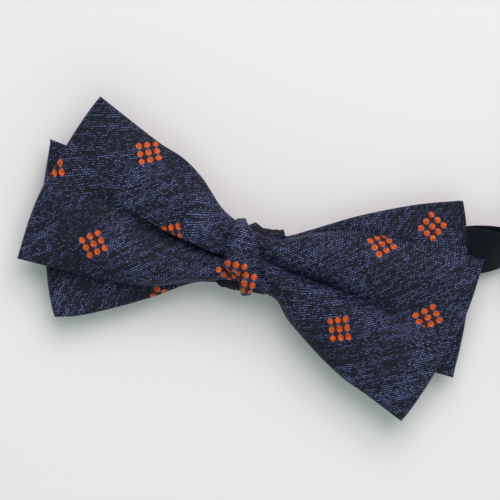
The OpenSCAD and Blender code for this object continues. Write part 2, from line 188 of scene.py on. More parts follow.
def jacquardCloth(name, origin, withMotif=True, dim=1.0):
    # Silk-blend jacquard, woven from navy and blue marl yarns: fine pips over a near-black ground
    # with slubby streaks along the weft, and floats of orange satin yarn that catch more light.
    cloth, tree, shader = newMaterial(name, **{"Roughness": 0.6, "Specular IOR Level": 0.2,
                                              "Sheen Weight": 0.05, "Sheen Roughness": 0.4,
                                              "Sheen Tint": linear("#9aa2dd")})
    j = jacquard
    uv = add(tree, "ShaderNodeUVMap", {"uv_map": "cloth"})
    place = add(tree, "ShaderNodeVectorMath", {"operation": "SUBTRACT"},
                {0: uv.outputs[0], 1: (origin[0], origin[1], 0)})
    warped = add(tree, "ShaderNodeTexNoise", {}, {"Vector": place.outputs[0], "Scale": j["warpScale"],
                                                  "Detail": 4.0, "Roughness": 0.65})
    shift = add(tree, "ShaderNodeVectorMath", {"operation": "MULTIPLY_ADD"},
                {0: warped.outputs["Color"], 1: (j["warp"], j["warp"], 0),
                 2: (-j["warp"] / 2, -j["warp"] / 2, 0)})
    loose = add(tree, "ShaderNodeVectorMath", {"operation": "ADD"},
                {0: place.outputs[0], 1: shift.outputs[0]})
    bias = add(tree, "ShaderNodeMapping", {}, {"Vector": loose.outputs[0],
                                               "Rotation": (0, 0, -math.pi / 4)})  # cut on the bias
    pips = add(tree, "ShaderNodeTexBrick", {"offset": 0.5, "squash": 1.0},
               {"Vector": bias.outputs[0], "Scale": 1.0, "Brick Width": j["pipLength"],
                "Row Height": j["pipRow"], "Mortar Size": j["gap"], "Mortar Smooth": 0.7,
                "Color1": (1, 1, 1, 1), "Color2": (j["pipVary"], j["pipVary"], j["pipVary"], 1),
                "Mortar": (0, 0, 0, 1), "Bias": j["pipBias"]})
    stretched = add(tree, "ShaderNodeMapping", {}, {
        "Vector": bias.outputs[0],
        "Scale": (1 / j["streakLength"], 1 / j["streakWidth"], 1)})
    streaks = add(tree, "ShaderNodeTexNoise", {}, {"Vector": stretched.outputs[0], "Scale": 1.0,
                                                   "Detail": 3.0, "Roughness": 0.6})
    streakRamp = add(tree, "ShaderNodeMapRange", {}, {"Value": streaks.outputs["Fac"], 1: 0.34, 2: 0.62,
                                                      3: j["streakDim"] * dim, 4: j["streakLight"] * dim})
    blotch = add(tree, "ShaderNodeTexNoise", {}, {"Vector": place.outputs[0], "Scale": j["blotchScale"],
                                                  "Detail": 1.0})
    blotchRamp = add(tree, "ShaderNodeMapRange", {}, {"Value": blotch.outputs["Fac"], 1: 0.3, 2: 0.7,
                                                      3: 0.8, 4: 1.1})
    amount = add(tree, "ShaderNodeMath", {"operation": "MULTIPLY"},
                 {0: streakRamp.outputs[0], 1: blotchRamp.outputs[0]})
    lit = add(tree, "ShaderNodeMath", {"operation": "MULTIPLY", "use_clamp": True},
              {0: amount.outputs[0], 1: pips.outputs["Color"]})
    yarn = add(tree, "ShaderNodeValToRGB", {}, {"Fac": lit.outputs[0]})
    ramp = yarn.color_ramp
    ramp.elements[0].color = linear(j["ground"])
    ramp.elements[1].color = linear(j["pipBright"])
    ramp.elements.new(0.45).color = linear(j["pipDim"])
    colour = yarn.outputs["Color"]
    height = pips.outputs["Color"]
    if withMotif:
        apart = add(tree, "ShaderNodeSeparateXYZ", {}, {0: bias.outputs[0]})
        halfAcross, halfUp = 1.5 * j["dotAcross"], 1.5 * j["dotUp"]  # a motif is three dots each way
        part = formula(tree, {"x": apart.outputs[0], "y": apart.outputs[1]}, [
            ("px", "ADD", "x", j["motifAcross"] / 2), ("mx", "FLOORED_MODULO", "px", j["motifAcross"]),
            ("p", "SUBTRACT", "mx", j["motifAcross"] / 2),
            ("qy", "ADD", "y", j["motifUp"] / 2), ("my", "FLOORED_MODULO", "qy", j["motifUp"]),
            ("q", "SUBTRACT", "my", j["motifUp"] / 2),
            ("absP", "ABSOLUTE", "p"), ("absQ", "ABSOLUTE", "q"),
            ("inP", "LESS_THAN", "absP", halfAcross), ("inQ", "LESS_THAN", "absQ", halfUp),
            ("inside", "MULTIPLY", "inP", "inQ"),
            ("ap", "ADD", "p", halfAcross), ("am", "FLOORED_MODULO", "ap", j["dotAcross"]),
            ("a", "SUBTRACT", "am", j["dotAcross"] / 2),
            ("bp", "ADD", "q", halfUp), ("bm", "FLOORED_MODULO", "bp", j["dotUp"]),
            ("b", "SUBTRACT", "bm", j["dotUp"] / 2),
            ("aa", "MULTIPLY", "a", "a"), ("dd", "MULTIPLY_ADD", "b", "b", "aa"), ("d", "SQRT", "dd"),
            ("barOff", "SUBTRACT", "absP", j["dotAcross"] / 2), ("barAbs", "ABSOLUTE", "barOff"),
            ("barIn", "LESS_THAN", "barAbs", j["barHalf"]),
            ("barEnd", "LESS_THAN", "absQ", j["barReach"] * j["dotUp"]),
            ("bar", "MULTIPLY", "barIn", "barEnd"),
            ("absB", "ABSOLUTE", "b"), ("sb", "SUBTRACT", "absB", j["dotUp"] / 2),
            ("sbb", "MULTIPLY", "sb", "sb"), ("sd", "ADD", "sbb", "aa"),
            ("speckNear", "LESS_THAN", "sd", j["speckArea"]), ("speck", "MULTIPLY", "speckNear", "inside"),
        ])
        dot = add(tree, "ShaderNodeMapRange", {"interpolation_type": "SMOOTHSTEP"},
                  {"Value": part["d"], 1: j["dotRadius"] - 0.05, 2: j["dotRadius"] + 0.07, 3: 1.0, 4: 0.0})
        dotIn = add(tree, "ShaderNodeMath", {"operation": "MULTIPLY"},
                    {0: dot.outputs[0], 1: part["inside"]})
        floats = add(tree, "ShaderNodeTexNoise", {}, {"Vector": bias.outputs[0], "Scale": 1.4,
                                                      "Detail": 3.0})
        satinRamp = add(tree, "ShaderNodeMapRange", {}, {"Value": floats.outputs["Fac"], 1: 0.36, 2: 0.6})
        satin = add(tree, "ShaderNodeMix", {"data_type": "RGBA"},
                    {0: satinRamp.outputs[0], 6: linear(j["orangeDeep"]), 7: linear(j["orange"])})
        withBar = add(tree, "ShaderNodeMix", {"data_type": "RGBA"},
                      {0: part["bar"], 6: colour, 7: linear(j["brown"])})
        withSpeck = add(tree, "ShaderNodeMix", {"data_type": "RGBA"},
                        {0: part["speck"], 6: withBar.outputs[2], 7: linear(j["speck"])})
        withDots = add(tree, "ShaderNodeMix", {"data_type": "RGBA"},
                       {0: dotIn.outputs[0], 6: withSpeck.outputs[2], 7: satin.outputs[2]})
        colour = withDots.outputs[2]
        dome = add(tree, "ShaderNodeMapRange", {}, {"Value": part["d"], 1: 0.0, 2: j["dotRadius"] + 0.1,
                                                    3: 1.9, 4: 0.2})
        raised = add(tree, "ShaderNodeMix", {"data_type": "FLOAT"},
                     {0: dotIn.outputs[0], 2: height, 3: dome.outputs[0]})
        height = raised.outputs[0]
        gloss = add(tree, "ShaderNodeMapRange", {}, {"Value": dotIn.outputs[0], 3: 0.66, 4: 0.4})
        tree.links.new(gloss.outputs[0], shader.inputs["Roughness"])
    tree.links.new(colour, shader.inputs["Base Color"])
    bump = add(tree, "ShaderNodeBump", {}, {"Height": height, "Strength": j["bump"],
                                            "Distance": j["bumpDepth"]})
    tree.links.new(bump.outputs[0], shader.inputs["Normal"])
    return cloth


def feltedLining():
    # Undyed wool and cotton interlining: matt, slightly hairy, cream with darker flecks.
    cloth, tree, shader = newMaterial("woolInterlining", **{"Roughness": 0.9, "Sheen Weight": 0.3})
    place = add(tree, "ShaderNodeTexCoord")
    weave = add(tree, "ShaderNodeTexVoronoi", {}, {"Vector": place.outputs["Object"], "Scale": 1400.0})
    fleck = add(tree, "ShaderNodeTexNoise", {}, {"Vector": place.outputs["Object"], "Scale": 260.0,
                                                 "Detail": 5.0})
    mixed = add(tree, "ShaderNodeMix", {"data_type": "RGBA"},
                {0: fleck.outputs["Fac"], 6: linear("#b9ae94"), 7: linear("#e6dfcd")})
    tree.links.new(mixed.outputs[2], shader.inputs["Base Color"])
    bump = add(tree, "ShaderNodeBump", {}, {"Height": weave.outputs["Distance"], "Strength": 0.5,
                                            "Distance": 0.0002})
    tree.links.new(bump.outputs[0], shader.inputs["Normal"])
    return cloth


def sewingThread():
    # Twisted polyester sewing thread: two plies wound round each other, with a slight lustre.
    thread, tree, shader = newMaterial("twistedThread", **{"Roughness": 0.5, "Sheen Weight": 0.3})
    place = add(tree, "ShaderNodeTexCoord")
    twist = add(tree, "ShaderNodeTexWave", {"wave_type": "BANDS", "bands_direction": "DIAGONAL"},
                {"Vector": place.outputs["Object"], "Scale": 900.0, "Distortion": 1.0})
    # painted shade: the colour follows the twist bands, darker in the grooves between the plies and lighter
    # on their crests
    mixed = add(tree, "ShaderNodeMix", {"data_type": "RGBA"},
                {0: twist.outputs["Fac"], 6: linear("#15172c"), 7: linear("#343a66")})
    tree.links.new(mixed.outputs[2], shader.inputs["Base Color"])
    bump = add(tree, "ShaderNodeBump", {}, {"Height": twist.outputs["Fac"], "Strength": 0.6,
                                            "Distance": 0.0001})
    tree.links.new(bump.outputs[0], shader.inputs["Normal"])
    return thread


def satinLabel():
    # Woven polyester satin: off-white, silky across the floats, with a fine rib every 0.3 mm.
    cloth, tree, shader = newMaterial("labelSatin", **{"Roughness": 0.38, "Sheen Weight": 0.2,
                                                       "Anisotropic": 0.4})
    place = add(tree, "ShaderNodeTexCoord")
    ribs = add(tree, "ShaderNodeTexWave", {"wave_type": "BANDS", "bands_direction": "Z"},
               {"Vector": place.outputs["Object"], "Scale": 530.0, "Distortion": 0.4, "Detail": 2.0})
    soil = add(tree, "ShaderNodeTexNoise", {}, {"Vector": place.outputs["Object"], "Scale": 160.0})
    mixed = add(tree, "ShaderNodeMix", {"data_type": "RGBA"},
                {0: soil.outputs["Fac"], 6: linear("#dcd9d0"), 7: linear("#f4f2ec")})
    tree.links.new(mixed.outputs[2], shader.inputs["Base Color"])
    bump = add(tree, "ShaderNodeBump", {}, {"Height": ribs.outputs["Fac"], "Strength": 0.35,
                                            "Distance": 0.0001})
    tree.links.new(bump.outputs[0], shader.inputs["Normal"])
    return cloth


def nickelPlate():
    # Nickel-plated steel, stamped and barrel-polished: warm grey, softly blurred, with fine scuffs.
    metal, tree, shader = newMaterial("nickelPlate", **{"Metallic": 1.0})
    place = add(tree, "ShaderNodeTexCoord")
    scuffs = add(tree, "ShaderNodeTexNoise", {}, {"Vector": place.outputs["Object"], "Scale": 900.0,
                                                  "Detail": 6.0, "Roughness": 0.7})
    tarnish = add(tree, "ShaderNodeTexNoise", {}, {"Vector": place.outputs["Object"], "Scale": 190.0,
                                                   "Detail": 3.0})
    mixed = add(tree, "ShaderNodeMix", {"data_type": "RGBA"},
                {0: tarnish.outputs["Fac"], 6: linear("#a39c8d"), 7: linear("#d2ccbf")})
    rough = add(tree, "ShaderNodeMapRange", {}, {"Value": scuffs.outputs["Fac"], 1: 0.3, 2: 0.7, 3: 0.2,
                                                 4: 0.42})
    bump = add(tree, "ShaderNodeBump", {}, {"Height": scuffs.outputs["Fac"], "Strength": 0.12,
                                            "Distance": 0.00005})
    tree.links.new(mixed.outputs[2], shader.inputs["Base Color"])
    tree.links.new(rough.outputs[0], shader.inputs["Roughness"])
    tree.links.new(bump.outputs[0], shader.inputs["Normal"])
    return metal


def paperFloor():
    # Matt seamless studio paper, pale grey with a barely seen fibre.
    paper, tree, shader = newMaterial("studioPaper", **{"Roughness": 0.95, "Specular IOR Level": 0.1})
    place = add(tree, "ShaderNodeTexCoord")
    fibre = add(tree, "ShaderNodeTexNoise", {}, {"Vector": place.outputs["Object"], "Scale": 300.0})
    bump = add(tree, "ShaderNodeBump", {}, {"Height": fibre.outputs["Fac"], "Strength": 0.02,
                                            "Distance": 0.0001})
    shader.inputs["Base Color"].default_value = linear(studio["floor"])
    tree.links.new(bump.outputs[0], shader.inputs["Normal"])
    return paper


frontCloth = jacquardCloth("frontJacquard", (-38.3, 20.0))
backCloth = jacquardCloth("backJacquard", (49.0, 18.2))
# The knot's copy of the jacquard is made 1.15 times brighter than the wings' cloth: painted light on the
# raised knot.
knotClothPaintedLight = jacquardCloth("knotJacquardPaintedLight", (0.0, 0.0), dim=1.15)
# The neckband's copy, also used for the strap tail and the keeper, is plain and 0.62 times as bright:
# painted shade for the band's face, which stands on edge away from the key light.
bandClothPaintedShade = jacquardCloth("bandJacquardPaintedShade", (0.0, 0.0), withMotif=False, dim=0.62)
liningCloth = feltedLining()
threadFinish = sewingThread()
labelFinish = satinLabel()
metalFinish = nickelPlate()
print("materials made")


def finishPiece(name, bm, material, body, replaced=()):
    bmesh.ops.recalc_face_normals(bm, faces=bm.faces)
    mesh = bpy.data.meshes.new(name)
    bm.to_mesh(mesh)
    bm.free()
    for polygon in mesh.polygons:
        polygon.use_smooth = True
    mesh.materials.append(material)
    piece = bpy.data.objects.new(name, mesh)
    scene.collection.objects.link(piece)
    if body:  # a piece given no body is left without a parent
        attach(piece, body)
    for nodeName in replaced:
        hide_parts(nodeName)
    return piece


def makeFloor():
    bm = bmesh.new()
    bmesh.ops.create_grid(bm, x_segments=2, y_segments=2, size=studio["floorSize"] / 2)
    mesh = bpy.data.meshes.new("studioFloor")
    bm.to_mesh(mesh)
    bm.free()
    mesh.materials.append(paperFloor())
    floor = bpy.data.objects.new("studioFloor", mesh)
    floor.location.z = -0.0001
    scene.collection.objects.link(floor)


makeFloor()

# The two crossed layers, in mm along and across each; outlines are (distance from the middle, half width),
# and lobes are (share of the way from the fold to the edge, share of the puff)
flatLobe = [(0, 0.9), (0.5, 1), (1, 0)]
frontLayer = {
    "name": "frontBow", "angle": -6.9, "length": {-1: 58.1, 1: 58.1}, "slant": {-1: 1.9, 1: 1.9},
    "apex": 48.0, "fan": 13.0, "flatHalf": 24.0, "middle": 9.9, "thick": 1.25, "seed": 3.0,
    "outline": {
        (-1, 1): [(0, 7.2), (5, 7.4), (9.6, 8.4), (13.5, 10.0), (17, 12.4), (21.2, 15.1), (27.7, 17.8),
                  (34.8, 19.0), (43.8, 21.3), (55.2, 24.4)],
        (-1, -1): [(0, 6.6), (4, 7.7), (6.6, 9.1), (14.5, 13.4), (20, 16.5), (27.2, 19.0), (37.4, 21.0),
                   (55.2, 23.8)],
        (1, 1): [(0, 7.2), (4.4, 7.6), (8, 9.6), (11.3, 12.2), (16, 14.9), (21, 17.3), (30, 19.5),
                 (43.3, 22.0), (55.2, 23.9)],
        (1, -1): [(0, 6.6), (7.1, 7.0), (11, 7.5), (15.5, 10.9), (21.5, 13.9), (28.3, 17.0), (36.1, 19.8),
                  (43.6, 21.4), (55.2, 24.3)]},
    "crease": {-1: [(0, 0), (7, -0.6), (16, -0.8), (25, -1.5), (33, -1.9), (39, -1.7), (44, -1.2),
                    (58, -2.0)],
               1: [(0, 0), (4.5, 1.2), (11, 0.7), (21, 1.2), (31, 1.0), (40, 0.9), (49, 1.2), (58, 1.6)]},
    "puff": {(-1, 1): [(0, 1.2), (6, 2.8), (13, 4.4), (24, 4.2), (38, 2.5), (50, 1.0), (58, 0.2)],
             (-1, -1): [(0, 1.0), (6, 2.2), (14, 3.4), (26, 3.4), (38, 2.2), (50, 1.0), (58, 0.2)],
             (1, 1): [(0, 1.0), (6, 2.6), (14, 3.6), (26, 3.6), (38, 2.8), (50, 1.2), (58, 0.2)],
             (1, -1): [(0, 1.2), (6, 2.9), (13, 4.0), (24, 4.2), (38, 3.2), (50, 1.4), (58, 0.2)]},
    "lobe": {(-1, 1): [(0, 0), (0.04, 0.45), (0.1, 0.8), (0.3, 1), (0.7, 0.8), (1, 0)],
             (-1, -1): [(0, 0), (0.12, 0.06), (0.35, 0.5), (0.65, 1), (0.87, 0.75), (1, 0)],
             (1, 1): [(0, 0), (0.06, 0.3), (0.14, 0.58), (0.32, 0.8), (0.6, 1), (0.87, 0.75), (1, 0)],
             (1, -1): [(0, 0), (0.06, 0.5), (0.13, 0.86), (0.24, 1), (0.6, 0.72), (0.87, 0.55), (1, 0)]},
    "farLobe": {(-1, 1): [(0, 0.55), (0.3, 0.85), (0.6, 1), (1, 0)],
                (-1, -1): [(0, 0.55), (0.35, 0.8), (0.7, 1), (1, 0)],
                (1, 1): [(0, 0.3), (0.35, 0.7), (0.65, 1), (1, 0)],
                (1, -1): [(0, 0.3), (0.2, 0.9), (0.4, 1), (0.7, 0.75), (1, 0)]},
    "overhang": {-1: [(0, 1.2), (8, 3.5), (22, 3.3), (32, 1.5), (40, 0.0)],
                 1: [(0, 0), (58, 0)]},
    "tuck": {(-1, 1): [(0, 5.0), (6, 5.0), (16, 1.5), (22, 1.5), (36, -0.9), (44, -0.9), (57, 0.5)],
             (-1, -1): [(0, 5.5), (6, 5.0), (20, 0), (40, -2.6), (58, -2.6)],
             (1, 1): [(0, 5.5), (6, 5.0), (16, -1.2), (32, -2.6), (50, -1.4)],
             (1, -1): [(0, 0), (30, -0.8)]},
    "slip": {(-1, 1): [(0, 0), (46, 0), (56, 0.8)], (-1, -1): [(0, 0), (20, -0.95), (58, -0.95)],
             (1, 1): [(0, 0), (38, 0), (46, -0.7), (58, -0.7)], (1, -1): [(0, 0), (15, -0.85), (58, -0.8)]},
    "uvShift": (3.4, 2.5), "valley": 1.1, "creaseReach": [(0, 2.0), (12, 2.6), (30, 5.0), (58, 9.0)],
}
backLayer = {
    "name": "backBow", "angle": 6.9, "length": {-1: 56.1, 1: 58.5}, "slant": {-1: -4.3, 1: -2.35},
    "apex": 48.0, "fan": 12.8, "flatHalf": 23.6, "middle": 7.1, "thick": 1.1, "seed": 11.0,
    "outline": {
        (-1, 1): [(0, 6.2), (8, 7.0), (16, 11.5), (24, 15.4), (36, 19.0), (48, 22.0), (55, 23.7)],
        (-1, -1): [(0, 6.2), (8.3, 6.6), (17.3, 9.4), (25.2, 13.5), (35.9, 18.1), (46.5, 22.0), (53, 23.3)],
        (1, 1): [(0, 6.2), (8, 7.2), (14, 9.6), (19.7, 12.2), (26.8, 15.4), (35.7, 18.7), (44.8, 21.6),
                 (55, 24.0)],
        (1, -1): [(0, 6.2), (8, 7.0), (16, 11.0), (24, 15.0), (36, 19.0), (48, 21.8), (55.6, 22.9)]},
    "crease": {-1: [(0, 0), (58, 0)], 1: [(0, 0), (58, 0)]},
    "puff": dict.fromkeys([(-1, 1), (-1, -1), (1, 1), (1, -1)], [(0, 0.1), (20, 0.2), (58, 0.1)]),
    "lobe": dict.fromkeys([(-1, 1), (-1, -1), (1, 1), (1, -1)], flatLobe),
    "farLobe": dict.fromkeys([(-1, 1), (-1, -1), (1, 1), (1, -1)], flatLobe),
    "overhang": {-1: [(0, 0), (58, 0)], 1: [(0, 0), (58, 0)]},
    "tuck": {(1, 1): [(0, -1.5), (58, -1.6)], (-1, -1): [(0, 1.0), (58, 1.1)]},
    "slip": {}, "uvShift": (0.0, 0.0), "valley": 0.0, "creaseReach": [(0, 2.0), (58, 6.0)],
}
layerMesh = {"along": 230, "across": 112, "crowding": 0.62, "rimRound": 0.85}
layerFolds = {"wave": 0.34, "ripple": 0.14, "pleat": 1.0, "pleatAt": 7, "pleatReach": 9, "backWave": 0.12,
              "valleyWidth": 1.8, "bead": 0.24, "beadAt": 0.8, "beadWidth": 0.45,
              "groove": 0.14, "grooveAt": 1.55, "grooveWidth": 0.28}
interlining = {"shrink": 0.95, "thin": 0.15, "drop": 0.5}
weldGap = 0.0005  # mm, for vertices that meet at a seam


def spread(w):  # grid lines closer together at both ends of 0 to 1
    return w + layerMesh["crowding"] * ((0.5 - 0.5 * math.cos(math.pi * w)) - w)


def layerPoint(layer, u, v, upper, shrink=1.0, thin=1.0):
    # u runs from -1 at the left end to 1, v from -1 at the lower edge to 1; mm in the bow's frame
    side = 1 if u >= 0 else -1
    half = 1 if v >= 0 else -1
    length = layer["length"][side] * shrink
    along = spread(abs(u)) * length
    fan = math.radians(layer["fan"])
    ray = spread(abs(v)) * fan
    x = (layer["apex"] + along) * math.cos(ray) - layer["apex"]
    edge = curveThrough(layer["outline"][(side, half)], x) * shrink
    crease = curveThrough(layer["crease"][side], x)
    y = crease + (half * edge - crease) * math.tan(ray) / math.tan(fan)
    fromCrease = abs(y - crease)
    lobe = max(0.5, abs(half * edge - crease))
    fromEdge = lobe - fromCrease
    fromEnd = length - along
    rim = 1.0
    for d in (fromEdge, fromEnd):
        k = 1 - min(1.0, max(0.0, d / layerMesh["rimRound"]))
        rim *= math.sqrt(max(0.0, 1 - k * k))
    z = layer["middle"]
    loose = min(1.0, fromEdge / 3, fromEnd / 4)
    wave = noise.noise(Vector((side * x / 17, y / 11, layer["seed"])))
    if upper:
        share = fromCrease / lobe
        puff = curveThrough(layer["puff"][(side, half)], along)
        far = smoothStep((along - 14) / 34)
        shape = ((1 - far) * curveThrough(layer["lobe"][(side, half)], share)
                 + far * curveThrough(layer["farLobe"][(side, half)], share))
        z += layer["thick"] * rim * thin + puff * shape * min(1.0, fromEnd / 1.2)
        ripple = noise.noise(Vector((side * x / 7, y / 5, layer["seed"] + 5)))
        pleat = noise.noise(Vector((along / 16, share * 4.6, layer["seed"] + half * 2 + side)))
        near = math.exp(-((along - layerFolds["pleatAt"]) / layerFolds["pleatReach"]) ** 2)
        z += (layerFolds["wave"] * wave + layerFolds["ripple"] * ripple
              + layerFolds["pleat"] * pleat * near * min(1.0, share * 5)) * loose
        if half > 0:  # the upper lobe leans over the fold
            over = curveThrough(layer["overhang"][side], along)
            g = smoothStep(fromCrease / curveThrough(layer["creaseReach"], along))
            y -= over * 3 * g * (1 - g)
        valley = (math.exp(-((fromCrease / layerFolds["valleyWidth"]) ** 2)) * smoothStep(along / 6)
                  * (1 - smoothStep((along - 30) / 20)))
        z -= layer["valley"] * valley
        groove = math.exp(-(((fromEnd - layerFolds["grooveAt"]) / layerFolds["grooveWidth"]) ** 2))
        bead = math.exp(-(((fromEnd - layerFolds["beadAt"]) / layerFolds["beadWidth"]) ** 2))
        z += (layerFolds["bead"] * bead - layerFolds["groove"] * groove) * rim * thin
    else:
        z += -layer["thick"] * rim * thin + layerFolds["backWave"] * wave * loose
    x = side * x + layer["slant"][side] * v * (along / length)
    turn = math.radians(layer["angle"])
    return Vector((x * math.cos(turn) - y * math.sin(turn), x * math.sin(turn) + y * math.cos(turn), z))


def layerSheet(bm, layer, upper, uvLayer, shrink=1.0, thin=1.0, coarse=1):
    nu, nv = layerMesh["along"] // coarse, layerMesh["across"] // coarse
    made = bmesh.ops.create_grid(bm, x_segments=nu, y_segments=nv, size=1)
    cells = {}
    for vert in made["verts"]:
        i = round((vert.co.x + 1) / 2 * nu)
        j = round((vert.co.y + 1) / 2 * nv)
        cells[vert] = (i, j)
    at = {}
    for vert, (i, j) in cells.items():
        vert.co = layerPoint(layer, 2 * i / nu - 1, 2 * j / nv - 1, upper, shrink, thin)
        at[(i, j)] = vert.co.copy()
    flatV = {}
    for i in range(nu + 1):  # cloth measured inwards from each long edge; the rest is in the fold
        for first, step in ((0, 1), (nv, -1)):
            side = -1 if first == 0 else 1
            run, previous = 0.0, at[(i, first)]
            for j in range(first, nv // 2 + step, step):
                run += (at[(i, j)] - previous).length
                previous = at[(i, j)]
                flatV[(i, j, side)] = side * (layer["flatHalf"] - run)
    for face in {f for v in made["verts"] for f in v.link_faces}:
        low = sum(cells[v][1] for v in face.verts) / 4 < nv / 2
        for loop in face.loops:
            i, j = cells[loop.vert]
            u = 2 * i / nu - 1
            side, half = 1 if u >= 0 else -1, -1 if low else 1
            along = spread(abs(u)) * layer["length"][side]
            past = smoothStep((side * along + 6) / 12)  # cloth taken up in the gathers under the knot
            tuck = curveThrough(layer["tuck"].get((side, half), [(0, 0), (1, 0)]), along)
            slip = curveThrough(layer["slip"].get((side, half), [(0, 0), (1, 0)]), along)
            loop[uvLayer].uv = (side * along + slip + layer["uvShift"][0] * past,
                                flatV[(i, j, half)] - half * tuck + layer["uvShift"][1] * past)
    if not upper:
        bmesh.ops.reverse_faces(bm, faces=list({f for v in made["verts"] for f in v.link_faces}))


def layerPiece(name, layer, material, nodeName, shrink=1.0, thin=1.0, coarse=1):
    bm = bmesh.new()
    uvLayer = bm.loops.layers.uv.new("cloth")
    for upper in (True, False):
        layerSheet(bm, layer, upper, uvLayer, shrink, thin, coarse)
    bmesh.ops.remove_doubles(bm, verts=bm.verts, dist=weldGap)
    bmesh.ops.scale(bm, vec=(mm, mm, mm), verts=bm.verts)
    return finishPiece(name, bm, material, "bow", [nodeName])


def makeLayer(layer, material, clothNode, liningNode):
    piece = layerPiece(layer["name"] + "Cloth", layer, material, clothNode)
    inner = dict(layer, puff=dict.fromkeys(layer["puff"], [(0, 0), (58, 0)]), valley=0.0,
                 middle=layer["middle"] - interlining["drop"])
    lining = layerPiece(layer["name"] + "Interlining", inner, liningCloth, liningNode,
                        interlining["shrink"], interlining["thin"], coarse=2)


makeLayer(backLayer, backCloth, "back_bow_cloth", "back_bow_interlining")
makeLayer(frontLayer, frontCloth, "front_bow_cloth", "front_bow_interlining")
print("bow layers shaped")


def sweptStrip(name, places, width, thick, material, body, replaced, around=28,
               closed=False, shape=None, clothTurn=0.0, clothOrigin=None):
    # places are (point, width direction, outward direction, station) in mm; the strip is a flat
    # tube with folded edges, and its cloth is measured from the middle of the outer face
    bm = bmesh.new()
    uvLayer = bm.loops.layers.uv.new("cloth")
    count = len(places) if closed else len(places) - 1
    made = bmesh.ops.create_grid(bm, x_segments=around, y_segments=count, size=1)
    station = [place[3] for place in places]
    if closed:  # the seam's far side carries on from the last station
        station.append(2 * station[-1] - station[-2])
    section = []
    for i in range(around + 1):
        a = 2 * math.pi * i / around
        section.append((math.copysign(abs(math.cos(a)) ** 0.55, math.cos(a)),
                        math.copysign(abs(math.sin(a)) ** 0.8, math.sin(a))))
    girth = [0.0]
    for (c0, s0), (c1, s1) in zip(section, section[1:]):
        girth.append(girth[-1] + math.hypot((c1 - c0) * width / 2, (s1 - s0) * thick / 2))
    middle = girth[around // 4]
    cells = {}
    for vert in made["verts"]:
        i = round((vert.co.x + 1) / 2 * around)
        k = round((vert.co.y + 1) / 2 * count)
        cells[vert] = (i, k)
        point, side, out = places[k % len(places)][:3]
        flat, deep = section[i]
        across, up = flat * width / 2, deep * thick / 2
        if shape:
            across, up = shape(station[k % len(places)], flat, deep)
        vert.co = point + side * across + out * up
    spans = []  # how wide the strip is at each station, and where its middle is
    for k in range(count + 1):
        right, left = [shape(station[k], e, 0)[0] if shape else e * width / 2 for e in (1, -1)]
        spans.append(((right - left) / width, (right + left) / 2))
    c, s = math.cos(math.radians(clothTurn)), math.sin(math.radians(clothTurn))
    for face in bm.faces:
        at = sum(station[cells[v][1]] for v in face.verts) / len(face.verts)
        over = sum(section[cells[v][0]][0] for v in face.verts) / len(face.verts)
        startX, startY = clothOrigin(at, over) if clothOrigin else (0, 0)
        for loop in face.loops:
            i, k = cells[loop.vert]
            x = (middle - girth[i]) * spans[k][0] + spans[k][1] - startX
            y = -station[k] - startY
            loop[uvLayer].uv = (c * x - s * y, s * x + c * y)
    bmesh.ops.remove_doubles(bm, verts=bm.verts, dist=weldGap)
    if not closed:
        bmesh.ops.holes_fill(bm, edges=[e for e in bm.edges if e.is_boundary], sides=0)
    bmesh.ops.scale(bm, vec=(mm, mm, mm), verts=bm.verts)
    return finishPiece(name, bm, material, body, replaced)


# The knot: a wrap round both gathered middles, leaning across them; its lower part is tucked
# under a fold. Its profile goes by the distance down from the top of the knot.
knot = {"left": 1.95, "lean": 20.1, "halfHeight": 9.58, "low": 5.2, "high": 15.4, "thick": 1.5,
        "steps": 210, "backWidth": 8.4,
        "foldAt": 13.75, "foldSlant": 0.1, "foldDepth": 1.5, "foldWidth": 0.55,
        "crown": 0.9, "crownShare": 0.05, "lip": 0.25, "lipAt": 0.7, "lipWidth": 0.6, "bump": 0.24,
        "width": [(0, 3.0), (1.7, 4.0), (4.1, 6.4), (7.3, 8.5), (11.5, 9.6), (13.0, 9.2), (14.0, 7.4),
                  (15.2, 6.4), (17.6, 5.6), (19.3, 4.0), (20.6, 2.8)],
        "shift": [(0, 0), (7, -0.3), (12.5, -0.45), (13.6, 0), (15, 0.9), (18, 0.9), (20.6, -0.1)],
        "upperCloth": (-2.75, -14.3), "lowerCloth": (-0.4, -17.1), "clothTurn": 62.0}


def ringPlaces(half, low, high, lean, left, steps, frontPower, sidePower, middle=0.42):
    # a rounded upright loop; the station is the distance down the front from its upper end
    turn = math.radians(90 + lean)
    along = Vector((math.cos(turn), math.sin(turn), 0))
    side = Vector((math.sin(turn), -math.cos(turn), 0))
    zMid = low + (high - low) * middle
    fine = 2400  # points that the even steps are picked from
    dense = []
    for k in range(fine):
        a = 2 * math.pi * k / fine
        c, s = math.cos(a), math.sin(a)
        u = half * math.copysign(abs(c) ** sidePower, c)
        z = zMid + (high - zMid if s > 0 else zMid - low) * math.copysign(
            abs(s) ** (frontPower if s > 0 else 0.4), s)
        dense.append(Vector((-left, 0, 0)) + along * u + Vector((0, 0, z)))
    run = [0.0]
    for k in range(fine):
        run.append(run[-1] + (dense[(k + 1) % fine] - dense[k]).length)
    points, k = [], 0
    for n in range(steps):
        while run[k + 1] < run[-1] * n / steps:
            k += 1
        points.append(dense[k].lerp(dense[(k + 1) % fine],
                                    (run[-1] * n / steps - run[k]) / max(1e-9, run[k + 1] - run[k])))
    top = run[fine // 4] - half  # where the straight front would begin
    places = []
    for n in range(steps):
        t = (points[(n + 1) % steps] - points[n - 1]).normalized()
        places.append((points[n], side, t.cross(side).normalized(), run[-1] * n / steps - top))
    return places


knotEdge = knot["halfHeight"] + knot["thick"] / 2
knotPlaces = ringPlaces(knot["halfHeight"], knot["low"], knot["high"], knot["lean"], knot["left"],
                        knot["steps"], 0.8, 0.5)
knotRun = (knotPlaces[-1][3] - knotPlaces[0][3]) * knot["steps"] / (knot["steps"] - 1)  # once round


